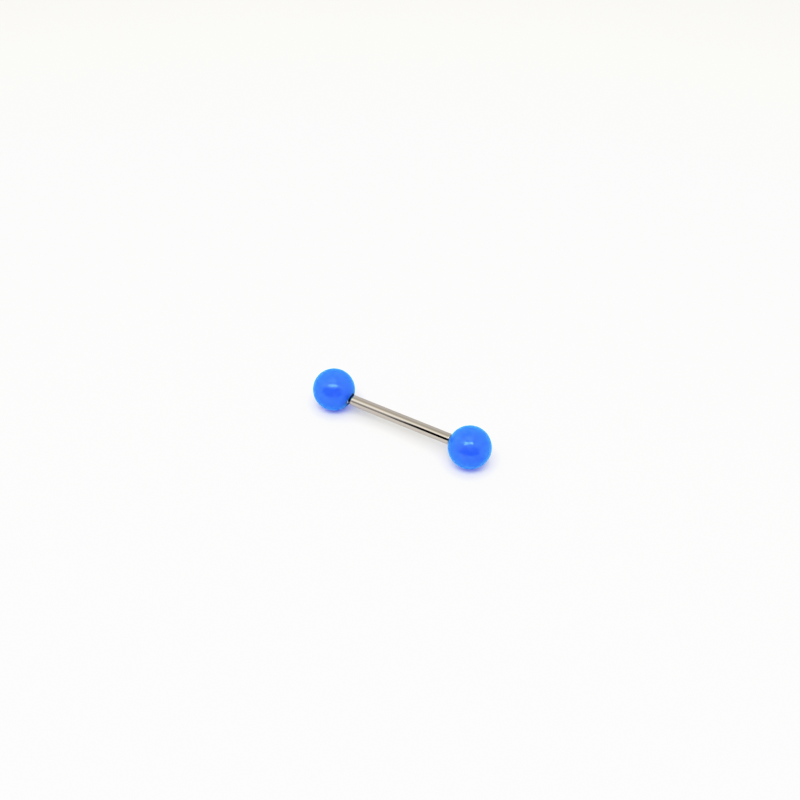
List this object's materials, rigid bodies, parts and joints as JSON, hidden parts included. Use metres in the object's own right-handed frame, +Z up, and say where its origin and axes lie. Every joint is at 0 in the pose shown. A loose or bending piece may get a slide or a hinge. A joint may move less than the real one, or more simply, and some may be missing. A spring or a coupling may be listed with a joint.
{
  "type": "tongue barbell",
  "caption": "Straight body-jewellery barbell: a polished steel shaft with threaded posts, closed by a blue acrylic screw-on ball at either end.",
  "frame": {"origin": "on the surface that the barbell lies on, midway between the outer ends of the two balls", "axes": "+X from the left ball to the right ball, +Z up; the shaft rises by 1.7 degrees towards +X because the left ball's hole is off centre"},
  "size_m": [0.028, 0.006, 0.006],
  "materials": {
    "steel": "polished surgical steel, slightly warm, with faint lengthwise polishing lines",
    "acrylic": "glossy blue acrylic that lets a little light through"
  },
  "bodies": {
    "bar": {"bar": "steel"},
    "left_ball": {"ball_left": "acrylic"},
    "right_ball": {"ball_right": "acrylic"}
  },
  "joints": [
    {"name": "left_ball_unscrew", "type": "slide", "parent": "bar", "child": "left_ball", "axis": [-0.9996, 0, -0.0296], "range_m": [0, 0.017]},
    {"name": "right_ball_unscrew", "type": "slide", "parent": "bar", "child": "right_ball", "axis": [0.9996, 0, 0.0296], "range_m": [0, 0.017]}
  ]
}
